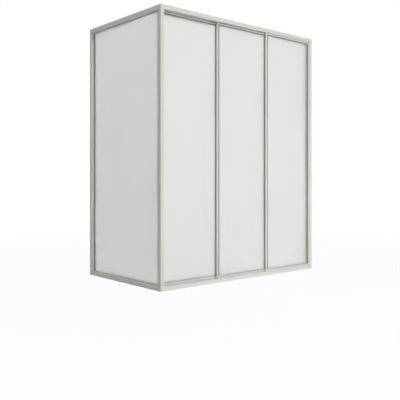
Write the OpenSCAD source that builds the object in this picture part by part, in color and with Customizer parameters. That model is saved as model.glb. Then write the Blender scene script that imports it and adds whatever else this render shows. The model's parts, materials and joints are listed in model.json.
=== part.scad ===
// Framed bath screen: a fixed end panel, and a front of three framed leaves that slide
// behind one another in a triple track. A corner post joins the two, and a channel at
// each far end takes the screen to the wall. Leaf 1 is at the corner on the innermost
// track, leaf 3 is fixed at the wall on the outermost one.
// X runs along the front to the wall, Y from the front face to the back wall, Z up.
// The origin lies under the middle of the whole screen.

/* [Screen] */
// Height of the screen
screen_h = 1425; // [1200:5:1600]
// Length of the front, from the corner to the wall
front_w = 1170; // [1000:1:1500]
// Length of the end panel, from the corner to the wall
end_d = 686; // [500:2:900]

/* [Frame extrusions] */
// Height of the outer face of the head and sill rails
rail_face = 22; // [20:0.5:26]
// Wall of the frame extrusions
wall_t = 1.5; // [1.2:0.1:1.8]
// Rounding of the outer edges of the extrusions
edge_r = 1; // [0.4:0.1:1.2]
// Width of the corner post, seen from the front
post_w = 21; // [20:0.5:26]
// Width of the post's cover strip on the end side
cover_side = 14; // [10:0.5:18]
// Rounding of the post's outer corner
corner_r = 3; // [2:0.5:5]
// Air between the two walls of the post's arm
arm_gap = 1; // [0.5:0.1:2]
// Depth of the glazing pocket round the end pane
pocket_d = 6.5; // [5:0.5:7]
// Thickness of the caps on the post's ends
cap_t = 2; // [1.5:0.5:3]

/* [Wall channels] */
// Leg of the front wall channel
front_leg = 20; // [16:0.5:21]
// Distance from the wall to the face of the front jamb
front_jamb_face = 22; // [21.5:0.5:30]
// Leg of the end wall channel
end_leg = 13.5; // [12:0.5:14]
// Distance from the wall to the face of the end jamb
end_jamb_face = 15; // [14.5:0.5:20]
// Distance from the wall to the back edges of the jambs
jamb_back = 3; // [2:0.5:4]
// Fit between a jamb and its channel
fit_gap = 0.3; // [0.2:0.1:0.5]
// Radius of the wall screws' holes
wall_hole_r = 2.75; // [2:0.25:3.5]
// Height of the lowest and, from the top, of the highest wall screw
wall_hole_edge = 150; // [80:10:250]

/* [Tracks] */
// Play on each side of a leaf in its track
side_play = 0.5; // [0.4:0.05:0.8]
// How much shorter the head's dividers are than its lips
divider_drop = 2; // [0:0.5:4]
// How much lower the sill's dividers are than its front lip
sill_step = 4; // [2:0.5:6]
// How much lower the sill's rear lip is than its front lip
rear_step = 6; // [2:0.5:8]
// Width of the ledge that the rollers run on
ledge_w = 5.5; // [5.2:0.1:6]
// Radius of the running bead on the ledge
bead_r = 1.2; // [1.1:0.05:1.4]
// Length of a drain slot in the sill
drain_l = 30; // [20:1:50]
// Height of a drain slot
drain_h = 3; // [2:0.5:4]
// Number of drain slots in each wall of the sill
drain_count = 4; // [2:1:6]

/* [Leaves] */
// Overlap of neighbouring leaves
overlap = 20; // [16:1:40]
// Gap between leaf 1 and the post, filled by the closing seal
closing_gap = 3; // [2.5:0.1:5]
// Gap between the head rail's lip and a leaf
top_gap = 3.5; // [1.5:0.5:5]
// Gap between the sill rail's lip and a leaf
sill_gap = 2; // [1:0.5:5]
// Wall of the leaf extrusions
skin = 1.2; // [1:0.1:1.4]
// Width of a stile's raised bead
stile_bead = 8.5; // [8:0.5:14]
// Height of a leaf rail's raised bead
rail_bead = 7; // [6.5:0.5:10]
// Step from the bead back to the glazing lip
lip_recess = 0.8; // [0.6:0.1:2]
// Reach of the front glazing lip
front_lip = 2; // [1.5:0.5:4]
// Reach of the rear glazing lip
rear_lip = 8; // [6:0.5:8]
// Thickness of the web that reaches into a track
neck_t = 4; // [3:0.5:4]
// How far that web runs down into the sill
foot_depth = 12; // [10:0.5:13]

/* [Glazing] */
// Thickness of the panes
pane_t = 4; // [3:0.5:6]
// Gasket in front of a pane
gasket_front = 1.5; // [1.2:0.1:3]
// Gasket behind a pane
gasket_rear = 2.3; // [1:0.1:3]
// Gasket round a pane's edge
gasket_base = 1; // [0.5:0.1:1.5]
// Width of a leaf's gasket over the pane, along the stiles
side_lap = 10; // [8:0.5:12]
// Width of a leaf's gasket over the pane, along the rails
rail_lap = 3.5; // [3:0.5:8]
// Width of the end pane's gasket over the pane
end_lap = 9.5; // [8:0.5:14]

/* [Rollers and guides] */
// Rolling radius of a wheel, at the bottom of its groove
wheel_r = 5.4; // [4.5:0.1:5.6]
// How far the wheel's flanges stand out of the groove
flange_depth = 1.1; // [0.8:0.1:1.2]
// Width of a wheel
wheel_w = 4.2; // [3.8:0.1:4.4]
// Radius of the axle
axle_r = 2; // [1.5:0.1:2.2]
// Radial play of a wheel on its axle
journal_play = 0.05; // [0.03:0.01:0.08]
// Air above a wheel
head_gap = 0.6; // [0.4:0.1:1]
// Air between a wheel's groove and the running bead
run_gap = 0.3; // [0.2:0.05:0.4]
// Thickness of a carriage plate
plate_t = 1.5; // [1.2:0.1:1.8]
// Length of a carriage plate
plate_l = 40; // [36:1:60]
// Distance between the screws of a carriage
plate_pitch = 28; // [26:1:30]
// Distance from a leaf's end to the middle of its carriage
carriage_inset = 45; // [40:1:90]
// Length of a guide shoe
shoe_l = 24; // [16:1:40]
// Distance from a leaf's end to its guide shoe
shoe_inset = 30; // [24:1:80]
// Play on each side of a guide shoe
shoe_play = 0.3; // [0.2:0.05:0.5]

/* [Fasteners and stops] */
// Radius of the frame screws
frame_screw_r = 1.75; // [1.5:0.05:2]
// Radius of the leaf screws
leaf_screw_r = 1.4; // [1.2:0.05:1.5]
// Play of a screw in a clearance hole
hole_play = 0.25; // [0.1:0.05:0.4]
// Play of a screw in its pilot hole
thread_play = 0.05; // [0.02:0.01:0.1]
// Length of the blocks that join the rails to the uprights
block_l = 18; // [14:1:22]
// Thickness of the travel buffers
buffer_t = 2.5; // [1.5:0.5:5]
// Air between a soft seal and the face that it closes on
seal_gap = 0.3; // [0.2:0.05:0.4]

/* [Hidden] */
$fn = 48;

frame_white = "#e4e5e2";
pane_white = "#e6eceb";
gasket_grey = "#9b9c99";
nylon_white = "#f1efe6";
steel_grey = "#b4b7ba";

// Leaf section, from the front face back
lip_v = lip_recess + skin;
pane_v = lip_v + gasket_front;
rear_v = pane_v + pane_t + gasket_rear;
leaf_t = rear_v + skin;
neck_v = (leaf_t - neck_t) / 2;

// Tracks, counted from 1 at the back to 3 at the front
track_w = leaf_t + 2 * side_play;
pitch = track_w + wall_t;
front_depth = 3 * pitch + wall_t;
function track_y(n) = wall_t + (3 - n) * pitch;
function leaf_y(n) = track_y(n) + side_play;

// Head rail, running ledge and wheels
head_inner_z = screen_h - wall_t;
flange_r = wheel_r + flange_depth;
axle_z = head_inner_z - head_gap - flange_r;
groove_r = bead_r + run_gap;
ledge_z = axle_z - wheel_r - groove_r;
ledge_v = leaf_t + side_play - ledge_w;
wheel_v = leaf_t + side_play - (ledge_w + wheel_w) / 2;

// Leaf frame
jamb_x = front_w - front_jamb_face;
leaf_w = (jamb_x - post_w - closing_gap + 2 * overlap) / 3;
leaf_z = rail_face + sill_gap;
leaf_h = screen_h - rail_face - top_gap - leaf_z;
neck_clear = 1.5;
neck_h = ledge_z - wall_t - neck_clear - leaf_z - leaf_h;
rail_t = rail_bead + rear_lip;
function leaf_x(n) = post_w + closing_gap + (n - 1) * (leaf_w - overlap);

// End panel, from the outer face in
end_reveal = post_w - 2 * wall_t - arm_gap;
end_lip_x = end_reveal + wall_t;
end_pane_x = end_lip_x + gasket_front;
end_rear_x = end_pane_x + pane_t + gasket_rear;
end_depth = end_rear_x + wall_t;
pocket_y = front_depth + wall_t;
arm_end_y = pocket_y + pocket_d;
end_jamb_y = end_d - end_jamb_face;
end_floor_z = rail_face - pocket_d;

// Screw heads and joint blocks
head_t = 2.2;
frame_head_r = 2.9;
leaf_head_r = 2.4;
plate_head_t = 1.3;
plate_head_r = 2.6;
jamb_screw_r = 1.45;
port_boss_r = 2.9;
block_grip = 12;
block_edge = 3;
head_room = 0.6;
slide_gap = 1;
head_block_z = ledge_z + bead_r + slide_gap / 2;
sill_block_h = leaf_z - foot_depth - wall_t - slide_gap;
screw_y = [track_y(3) + track_w / 2, track_y(2) + block_edge];
post_side = screw_y[1] + frame_head_r + head_room + wall_t;
sill_screw_z = wall_t + sill_block_h / 2;
head_screw_z = (head_block_z + head_inner_z) / 2;
end_screw_x = (wall_t + end_reveal) / 2;
end_screw_z = [rail_face / 2, screen_h - rail_face / 2];
leaf_screw_z = [rail_bead / 2, leaf_h - rail_bead / 2];

// Fixings of the jambs, of the wall channels and of leaf 3
fix_edge = 200;
jamb_screw_z = [fix_edge / 2, screen_h / 2, screen_h - fix_edge / 2];
leaf_fix_z = [fix_edge, leaf_h / 2, leaf_h - fix_edge];
wall_hole_z = [for (i = [0:3]) wall_hole_edge + i * (screen_h - 2 * wall_hole_edge) / 3];
front_screw_x = front_w - (front_jamb_face + jamb_back) / 2;
end_screw_y = end_d - (end_jamb_face - pocket_d - wall_t + jamb_back) / 2;
front_hole_y = (front_depth + fit_gap + wall_t) / 2;
end_hole_x = (wall_t + end_reveal) / 2;

// Soft pieces and packers
seal_base = 0.8;
closing_w = 8;
closing_bulb = 6.4;
wiper_w = 6;
wiper_h = pitch - leaf_t - seal_gap;
wiper_lean = overlap - 2 * stile_bead + 3;
buffer_w = 8;
buffer_h = 30;
hook_l = 2.4;
hub_r = 4.4;
slot_reach = 0.6;
shoe_below = 3;
shoe_grip = 5;
packer_inset = 50;

// Places and directions

module from_corner() {
    translate([-front_w / 2, -end_d / 2, 0]) children();
}

module at_leaf(n) {
    from_corner() translate([leaf_x(n), leaf_y(n), leaf_z]) children();
}

module from_right() {
    translate([leaf_w, 0, 0]) mirror([1, 0, 0]) children();
}

// Sections drawn in Y and Z, extruded along X
module along_x(from, to) {
    translate([from, 0, 0]) rotate([90, 0, 90]) linear_extrude(to - from) children();
}

// Sections drawn in X and Z, extruded along Y
module along_y(from, to) {
    translate([0, to, 0]) rotate([90, 0, 0]) linear_extrude(to - from) children();
}

module facing_x() {
    rotate([0, 90, 0]) children();
}

module facing_back_x() {
    rotate([0, -90, 0]) children();
}

module facing_y() {
    rotate([-90, 0, 0]) children();
}

module facing_back_y() {
    rotate([90, 0, 0]) children();
}

// Basic shapes

module soft_rect(w, h, r) {
    translate([r, 0]) square([w - 2 * r, h]);
    translate([0, r]) square([w, h - 2 * r]);
    for (x = [r, w - r], y = [r, h - r]) translate([x, y]) circle(r);
}

module screw(r, head_r, head_h, length) {
    tip = r / 2;
    cylinder(r = r, h = length - tip);
    translate([0, 0, length - tip]) cylinder(r1 = r, r2 = r / 3, h = tip);
    translate([0, 0, -head_h / 2]) cylinder(r = head_r, h = head_h / 2);
    translate([0, 0, -head_h]) cylinder(r1 = head_r * 0.8, r2 = head_r, h = head_h / 2);
}

module drill(r, length) {
    translate([0, 0, -length / 2]) cylinder(r = r, h = length);
}

// Head and sill: three tracks side by side

module track_walls(depths) {
    for (i = [0:3]) translate([i * pitch, 0]) square([wall_t, depths[i]]);
}

module head_section() {
    depths = [rail_face, rail_face - divider_drop, rail_face - divider_drop, rail_face];
    translate([0, screen_h]) mirror([0, 1]) intersection() {
        soft_rect(front_depth, rail_face, edge_r);
        union() {
            square([front_depth, wall_t]);
            track_walls(depths);
        }
    }
    for (n = [1:3]) {
        translate([leaf_y(n) + ledge_v, ledge_z - wall_t]) square([ledge_w + wall_t / 2, wall_t]);
        translate([leaf_y(n) + wheel_v + wheel_w / 2, ledge_z]) intersection() {
            circle(bead_r);
            translate([-bead_r, -wall_t / 2]) square([2 * bead_r, bead_r + wall_t / 2]);
        }
    }
}

module sill_section() {
    divider = rail_face - sill_step;
    intersection() {
        soft_rect(front_depth, rail_face, edge_r);
        union() {
            square([front_depth, wall_t]);
            track_walls([rail_face, divider, divider, rail_face - rear_step]);
        }
    }
}

module head_rail() {
    color(frame_white) from_corner() along_x(post_w, jamb_x) head_section();
}

module sill_rail() {
    spacing = (jamb_x - post_w) / (drain_count + 1);
    color(frame_white) from_corner() difference() {
        along_x(post_w, jamb_x) sill_section();
        for (i = [1:drain_count]) translate([post_w + i * spacing - drain_l / 2, pitch - wall_t, wall_t])
            cube([drain_l, front_depth, drain_h]);
    }
}

module end_blocks(z, h, screw_z) {
    for (side = [0, 1], n = [2, 3]) difference() {
        translate([side == 0 ? post_w : jamb_x - block_l, track_y(n), z]) cube([block_l, track_w, h]);
        translate([side == 0 ? post_w : jamb_x, screw_y[3 - n], screw_z])
            facing_x() drill(frame_screw_r + thread_play, 2 * block_grip);
    }
}

module head_end_blocks() {
    color(nylon_white) from_corner()
        end_blocks(head_block_z, head_inner_z - head_block_z, head_screw_z);
}

module sill_end_blocks() {
    color(nylon_white) from_corner() end_blocks(wall_t, sill_block_h, sill_screw_z);
}

// Corner post: an open profile that a snap-on cover closes

module post_section() {
    translate([post_w - wall_t, wall_t]) square([wall_t, pocket_y - wall_t]);
    translate([wall_t, post_side - wall_t]) square([post_w - wall_t, wall_t]);
    translate([wall_t, cover_side - hook_l]) square([wall_t, post_side - cover_side + hook_l]);
    translate([end_reveal, post_side - wall_t]) square([wall_t, arm_end_y - post_side + wall_t]);
    translate([end_reveal, front_depth]) square([end_depth - end_reveal, wall_t]);
    translate([end_rear_x, front_depth]) square([wall_t, arm_end_y - front_depth]);
}

module post_outline() {
    translate([corner_r, 0]) square([post_w - corner_r, post_side]);
    translate([0, corner_r]) square([post_w, cover_side - corner_r]);
    translate([wall_t, corner_r]) square([post_w - wall_t, post_side - corner_r]);
    translate([corner_r, corner_r]) circle(corner_r);
    translate([end_reveal, corner_r]) square([post_w - end_reveal, arm_end_y - corner_r]);
    translate([end_reveal, front_depth]) square([end_depth - end_reveal, arm_end_y - front_depth]);
}

module corner_post() {
    color(frame_white) from_corner() difference() {
        translate([0, 0, cap_t]) linear_extrude(screen_h - 2 * cap_t) post_section();
        for (y = screw_y, z = [sill_screw_z, head_screw_z]) translate([post_w, y, z])
            facing_x() drill(frame_screw_r + hole_play, 4 * wall_t);
        for (z = end_screw_z) translate([end_screw_x, post_side, z])
            facing_y() drill(frame_screw_r + hole_play, 4 * wall_t);
    }
}

module cover_section() {
    translate([corner_r, 0]) square([post_w - corner_r, wall_t]);
    translate([0, corner_r]) square([wall_t, cover_side - corner_r]);
    translate([corner_r, corner_r]) intersection() {
        difference() {
            circle(corner_r);
            circle(corner_r - wall_t);
        }
        translate([-corner_r, -corner_r]) square(corner_r);
    }
    translate([post_w - wall_t - wall_t / 2, wall_t]) square([wall_t / 2, hook_l]);
    translate([wall_t, cover_side - hook_l - wall_t / 2]) square([hook_l, wall_t / 2]);
}

module post_cover() {
    color(frame_white) from_corner() translate([0, 0, cap_t])
        linear_extrude(screen_h - 2 * cap_t) cover_section();
}

module post_cap() {
    spigot = [post_w / 2, cover_side / 2];
    linear_extrude(cap_t) post_outline();
    translate([2 * wall_t, 2 * wall_t, cap_t]) linear_extrude(2 * cap_t) square(spigot);
}

module post_caps() {
    color(nylon_white) from_corner() {
        post_cap();
        translate([0, 0, screen_h]) mirror([0, 0, 1]) post_cap();
    }
}

// Front wall end: a channel on the wall, and the jamb that slides in it

module front_channel_section() {
    back = front_depth + fit_gap;
    translate([front_w - wall_t, 0]) square([wall_t, back + wall_t]);
    translate([front_w - front_leg, 0]) square([front_leg, wall_t]);
    translate([front_w - front_leg, back]) square([front_leg, wall_t]);
}

module front_wall_channel() {
    color(frame_white) from_corner() difference() {
        linear_extrude(screen_h) front_channel_section();
        for (z = wall_hole_z) translate([front_w, front_hole_y, z]) facing_x() drill(wall_hole_r, 4 * wall_t);
        for (z = jamb_screw_z) translate([front_screw_x, front_depth, z])
            facing_y() drill(jamb_screw_r + hole_play, 6 * wall_t);
    }
}

module front_jamb_section() {
    outer = wall_t + fit_gap;
    leg = front_jamb_face - jamb_back;
    translate([jamb_x, outer]) square([wall_t, front_depth - outer]);
    translate([jamb_x, outer]) square([leg, wall_t]);
    translate([jamb_x, front_depth - wall_t]) square([leg, wall_t]);
}

module front_jamb() {
    color(frame_white) from_corner() difference() {
        linear_extrude(screen_h) front_jamb_section();
        for (y = screw_y, z = [sill_screw_z, head_screw_z]) translate([jamb_x, y, z])
            facing_x() drill(frame_screw_r + hole_play, 4 * wall_t);
        for (z = leaf_fix_z) translate([jamb_x, leaf_y(3) + leaf_t / 2, leaf_z + z])
            facing_x() drill(leaf_screw_r + hole_play, 4 * wall_t);
        for (z = jamb_screw_z) translate([front_screw_x, front_depth, z])
            facing_y() drill(jamb_screw_r + thread_play, 4 * wall_t);
    }
}

module travel_buffers() {
    color(gasket_grey) from_corner() for (n = [1, 2])
        translate([jamb_x - buffer_t, track_y(n) + (track_w - buffer_w) / 2, (screen_h - buffer_h) / 2])
            cube([buffer_t, buffer_w, buffer_h]);
}

// End panel: head and sill rails with a glazing pocket, jamb, channel and pane

module end_rail_section() {
    difference() {
        soft_rect(end_lip_x, rail_face, edge_r);
        translate([wall_t, wall_t]) square([end_reveal - wall_t, rail_face - 2 * wall_t]);
    }
    translate([end_reveal, 0]) square([end_depth - end_reveal, wall_t]);
    translate([end_reveal, end_floor_z - wall_t]) square([end_depth - end_reveal, wall_t]);
    translate([end_rear_x, 0]) square([wall_t, rail_face]);
}

module end_rail() {
    difference() {
        along_y(post_side, end_jamb_y) end_rail_section();
        translate([end_reveal, 0, -wall_t]) cube([end_depth, arm_end_y, rail_face + 2 * wall_t]);
    }
}

module end_head_rail() {
    color(frame_white) from_corner() translate([0, 0, screen_h]) mirror([0, 0, 1]) end_rail();
}

module end_sill_rail() {
    color(frame_white) from_corner() end_rail();
}

module end_rail_blocks() {
    chamber = [end_reveal - wall_t, block_l, rail_face - 2 * wall_t];
    color(nylon_white) from_corner() for (y = [post_side, end_jamb_y - block_l], z = end_screw_z)
        difference() {
            translate([wall_t, y, z - chamber[2] / 2]) cube(chamber);
            translate([end_screw_x, y == post_side ? y : end_jamb_y, z])
                facing_y() drill(frame_screw_r + thread_play, 2 * block_grip);
        }
}

module end_jamb_section() {
    outer = wall_t + fit_gap;
    leg = end_jamb_face - jamb_back;
    translate([outer, end_jamb_y]) square([end_lip_x - outer, wall_t]);
    translate([outer, end_jamb_y]) square([wall_t, leg]);
    translate([end_reveal, end_jamb_y]) square([wall_t, pocket_d + wall_t]);
    translate([end_reveal, end_jamb_y + pocket_d]) square([end_depth - end_reveal, wall_t]);
    translate([end_rear_x, end_jamb_y]) square([wall_t, leg]);
}

module end_jamb() {
    color(frame_white) from_corner() difference() {
        linear_extrude(screen_h) end_jamb_section();
        for (z = end_screw_z) translate([end_screw_x, end_jamb_y, z])
            facing_y() drill(frame_screw_r + hole_play, 4 * wall_t);
        for (z = jamb_screw_z) translate([end_depth, end_screw_y, z])
            facing_x() drill(jamb_screw_r + thread_play, 4 * wall_t);
    }
}

module end_channel_section() {
    back = end_depth + fit_gap;
    translate([0, end_d - wall_t]) square([back + wall_t, wall_t]);
    translate([0, end_d - end_leg]) square([wall_t, end_leg]);
    translate([back, end_d - end_leg]) square([wall_t, end_leg]);
}

module end_wall_channel() {
    color(frame_white) from_corner() difference() {
        linear_extrude(screen_h) end_channel_section();
        for (z = wall_hole_z) translate([end_hole_x, end_d, z]) facing_y() drill(wall_hole_r, 4 * wall_t);
        for (z = jamb_screw_z) translate([end_depth, end_screw_y, z])
            facing_x() drill(jamb_screw_r + hole_play, 6 * wall_t);
    }
}

// A block between the pocket floors of the end panel, drawn in by an inset
module end_glazing(x, depth, inset) {
    low_z = end_floor_z + inset;
    from_y = pocket_y + inset;
    length = end_jamb_y + pocket_d - inset - from_y;
    translate([x, from_y, low_z]) cube([depth, length, screen_h - 2 * low_z]);
}

module end_pane() {
    color(pane_white) from_corner() end_glazing(end_pane_x, pane_t, gasket_base);
}

module end_gasket() {
    color(gasket_grey) from_corner() difference() {
        end_glazing(end_lip_x, end_rear_x - end_lip_x, 0);
        end_glazing(end_pane_x, pane_t, gasket_base);
        end_glazing(end_lip_x - 1, end_rear_x - end_lip_x + 2, end_lap);
    }
}

// Screws of the frame

module frame_screw() {
    screw(frame_screw_r, frame_head_r, head_t, wall_t + block_grip);
}

module frame_screws() {
    color(steel_grey) from_corner() {
        for (y = screw_y, z = [sill_screw_z, head_screw_z]) {
            translate([post_w - wall_t, y, z]) facing_x() frame_screw();
            translate([jamb_x + wall_t, y, z]) facing_back_x() frame_screw();
        }
        for (z = end_screw_z) {
            translate([end_screw_x, post_side - wall_t, z]) facing_y() frame_screw();
            translate([end_screw_x, end_jamb_y + wall_t, z]) facing_back_y() frame_screw();
        }
    }
}

module jamb_screws() {
    length = 5 * wall_t;
    color(steel_grey) from_corner() for (z = jamb_screw_z) {
        translate([front_screw_x, front_depth + fit_gap + wall_t, z])
            facing_back_y() screw(jamb_screw_r, frame_head_r, head_t, length);
        translate([end_depth + fit_gap + wall_t, end_screw_y, z])
            facing_back_x() screw(jamb_screw_r, frame_head_r, head_t, length);
    }
}

// Leaf frame, in the leaf's own corner: X along it, Y from its front face back

module stile_section() {
    difference() {
        soft_rect(stile_bead, leaf_t, edge_r);
        translate([skin, skin]) square([stile_bead - 2 * skin, leaf_t - 2 * skin]);
    }
}

// A glazing lip of a stile, cut back where the rails' own lips cross
module stile_lip(v, reach) {
    from_z = rail_bead + reach;
    translate([stile_bead - skin / 2, v, from_z]) cube([reach + skin / 2, skin, leaf_h - 2 * from_z]);
}

module stile() {
    difference() {
        union() {
            linear_extrude(leaf_h) stile_section();
            stile_lip(lip_recess, front_lip);
            stile_lip(rear_v, rear_lip);
        }
        for (z = leaf_screw_z) translate([0, leaf_t / 2, z]) facing_x() {
            drill(leaf_head_r + hole_play, 3 * skin);
            drill(leaf_screw_r + hole_play, 3 * stile_bead);
        }
    }
}

module fixed_stile() {
    difference() {
        stile();
        for (z = leaf_fix_z) translate([0, leaf_t / 2, z])
            facing_x() drill(leaf_screw_r + thread_play, 3 * skin);
    }
}

// Bottom rail's section, with its web pointing down
module leaf_rail_section(web) {
    middle = [leaf_t / 2, rail_bead / 2];
    difference() {
        soft_rect(leaf_t, rail_bead, edge_r);
        difference() {
            translate([skin, skin]) square([leaf_t - 2 * skin, rail_bead - 2 * skin]);
            translate(middle) circle(port_boss_r);
        }
        translate(middle) circle(leaf_screw_r + thread_play);
    }
    translate([lip_recess, rail_bead - skin / 2]) square([skin, front_lip + skin / 2]);
    translate([rear_v, rail_bead - skin / 2]) square([skin, rear_lip + skin / 2]);
    translate([neck_v, -web]) square([neck_t, web + skin / 2]);
}

module bottom_rail() {
    along_x(stile_bead, leaf_w - stile_bead) leaf_rail_section(foot_depth);
}

module top_rail() {
    translate([0, 0, leaf_h]) mirror([0, 0, 1])
        along_x(stile_bead, leaf_w - stile_bead) leaf_rail_section(neck_h);
}

module hung_top_rail() {
    difference() {
        top_rail();
        for (x = [carriage_inset, leaf_w - carriage_inset], side = [-1, 1])
            translate([x + side * plate_pitch / 2, leaf_t / 2, leaf_h + neck_h / 2])
                facing_y() drill(leaf_screw_r + thread_play, 2 * leaf_t);
    }
}

// A block between the leaf's beads, drawn in from the stiles and from the rails
module glazing(v, depth, from_stile, from_rail) {
    x = stile_bead + from_stile;
    z = rail_bead + from_rail;
    translate([x, v, z]) cube([leaf_w - 2 * x, depth, leaf_h - 2 * z]);
}

module pane() {
    glazing(pane_v, pane_t, gasket_base, gasket_base);
}

module gasket() {
    difference() {
        glazing(lip_v, rear_v - lip_v, 0, 0);
        glazing(pane_v, pane_t, gasket_base, gasket_base);
        glazing(lip_v - 1, rear_v - lip_v + 2, side_lap, rail_lap);
    }
}

module leaf_screws() {
    seat = stile_bead - skin;
    for (z = leaf_screw_z) {
        translate([seat, leaf_t / 2, z])
            facing_x() screw(leaf_screw_r, leaf_head_r, head_t, skin + block_grip);
        translate([leaf_w - seat, leaf_t / 2, z])
            facing_back_x() screw(leaf_screw_r, leaf_head_r, head_t, skin + block_grip);
    }
}

// Roller carriages, in the leaf's corner

module at_carriages() {
    for (x = [carriage_inset, leaf_w - carriage_inset]) translate([x, 0, 0]) children();
}

module plate_section() {
    axle_h = axle_z - leaf_z;
    difference() {
        union() {
            polygon([
                [-plate_l / 2, leaf_h], [plate_l / 2, leaf_h],
                [plate_l / 2, leaf_h + neck_h], [hub_r, axle_h],
                [-hub_r, axle_h], [-plate_l / 2, leaf_h + neck_h]
            ]);
            translate([0, axle_h]) circle(hub_r);
        }
        translate([0, axle_h]) circle(axle_r + thread_play);
        for (side = [-1, 1]) translate([side * plate_pitch / 2, leaf_h + neck_h / 2]) {
            for (reach = [-1, 1]) translate([0, reach * slot_reach]) circle(leaf_screw_r + hole_play);
            square([2 * (leaf_screw_r + hole_play), 2 * slot_reach], center = true);
        }
    }
}

module carriages() {
    at_carriages() along_y(neck_v - plate_t, neck_v) plate_section();
}

module carriage_screws() {
    at_carriages() for (side = [-1, 1])
        translate([side * plate_pitch / 2, neck_v - plate_t, leaf_h + neck_h / 2])
            facing_y() screw(leaf_screw_r, plate_head_r, plate_head_t, plate_t + neck_t);
}

// Distances along the axle, from the plate's front face
axle_back = neck_v - plate_t;
wheel_front = wheel_v - axle_back;
shoulder_end = wheel_front - 0.2;
dish_depth = 0.8;
dish_r = axle_r + 1.6;
rivet_t = 0.6;
rivet_start = wheel_front + wheel_w - dish_depth + 0.1;

module axle() {
    translate([0, 0, -plate_head_t + 0.1]) cylinder(r = axle_r + 1.2, h = plate_head_t - 0.1);
    cylinder(r = axle_r, h = rivet_start + rivet_t);
    translate([0, 0, plate_t]) cylinder(r = axle_r + 1.2, h = shoulder_end - plate_t);
    translate([0, 0, rivet_start]) cylinder(r = axle_r + 1, h = rivet_t);
}

module axles() {
    at_carriages() translate([0, axle_back, axle_z - leaf_z]) facing_y() axle();
}

module wheel() {
    bore = axle_r + journal_play;
    rotate_extrude() difference() {
        translate([bore, 0]) square([flange_r - bore, wheel_w]);
        translate([wheel_r + groove_r, wheel_w / 2]) circle(groove_r);
        translate([0, wheel_w - dish_depth]) square([dish_r, wheel_w]);
    }
}

module wheel_at(x) {
    translate([x, wheel_v, axle_z - leaf_z]) facing_y() wheel();
}

// Guide shoes run in the sill, packers hold the fixed leaf

module straddle(length, width, below) {
    difference() {
        translate([0, (leaf_t - width) / 2, -foot_depth - below])
            linear_extrude(below + shoe_grip) soft_rect(length, width, 2);
        translate([-1, neck_v, -foot_depth]) cube([length + 2, neck_t, 2 * shoe_grip]);
    }
}

module guide_shoes() {
    for (x = [shoe_inset, leaf_w - shoe_inset - shoe_l])
        translate([x, 0, 0]) straddle(shoe_l, track_w - 2 * shoe_play, shoe_below);
}

module packers() {
    neck_top = leaf_h + neck_h;
    for (x = [packer_inset, leaf_w - packer_inset - shoe_l]) translate([x, 0, 0]) {
        straddle(shoe_l, track_w, leaf_z - foot_depth - wall_t);
        translate([0, -side_play, neck_top])
            cube([shoe_l, ledge_v + side_play, head_inner_z - leaf_z - neck_top]);
    }
}

module fixing_screws() {
    for (z = leaf_fix_z) translate([leaf_w + wall_t, leaf_t / 2, z])
        facing_back_x() screw(leaf_screw_r, leaf_head_r, head_t, wall_t + stile_bead - 2 * skin);
}

// Seals

module closing_seal() {
    bulb_h = closing_gap - seal_gap - seal_base;
    bulb_r = (pow(closing_bulb / 2, 2) + pow(bulb_h, 2)) / (2 * bulb_h);
    translate([0, leaf_t / 2, rail_t]) linear_extrude(leaf_h - 2 * rail_t) {
        translate([-seal_base, -closing_w / 2]) square([seal_base, closing_w]);
        intersection() {
            translate([bulb_r - bulb_h - seal_base, 0]) circle(bulb_r);
            translate([-closing_gap, -closing_w / 2]) square([closing_gap - seal_base / 2, closing_w]);
        }
    }
}

// Its blade leans over to the raised bead of the leaf behind
module wiper() {
    translate([stile_bead - wiper_w, leaf_t, rail_bead]) linear_extrude(leaf_h - 2 * rail_bead) {
        square([wiper_w, seal_base]);
        polygon([
            [wiper_w / 4, seal_base / 2], [wiper_w / 2, seal_base / 2],
            [wiper_w + wiper_lean, wiper_h], [wiper_w + wiper_lean - seal_base, wiper_h]
        ]);
    }
}

// Leaf 1, innermost, closes on the corner post

module leaf_1_left_stile() { color(frame_white) at_leaf(1) stile(); }
module leaf_1_right_stile() { color(frame_white) at_leaf(1) from_right() stile(); }
module leaf_1_top_rail() { color(frame_white) at_leaf(1) hung_top_rail(); }
module leaf_1_bottom_rail() { color(frame_white) at_leaf(1) bottom_rail(); }
module leaf_1_pane() { color(pane_white) at_leaf(1) pane(); }
module leaf_1_gasket() { color(gasket_grey) at_leaf(1) gasket(); }
module leaf_1_frame_screws() { color(steel_grey) at_leaf(1) leaf_screws(); }
module leaf_1_carriages() { color(steel_grey) at_leaf(1) carriages(); }
module leaf_1_carriage_screws() { color(steel_grey) at_leaf(1) carriage_screws(); }
module leaf_1_axles() { color(steel_grey) at_leaf(1) axles(); }
module leaf_1_wheel_left() { color(nylon_white) at_leaf(1) wheel_at(carriage_inset); }
module leaf_1_wheel_right() { color(nylon_white) at_leaf(1) wheel_at(leaf_w - carriage_inset); }
module leaf_1_guide_shoes() { color(nylon_white) at_leaf(1) guide_shoes(); }
module leaf_1_closing_seal() { color(gasket_grey) at_leaf(1) closing_seal(); }

// Leaf 2, in the middle track

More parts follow.
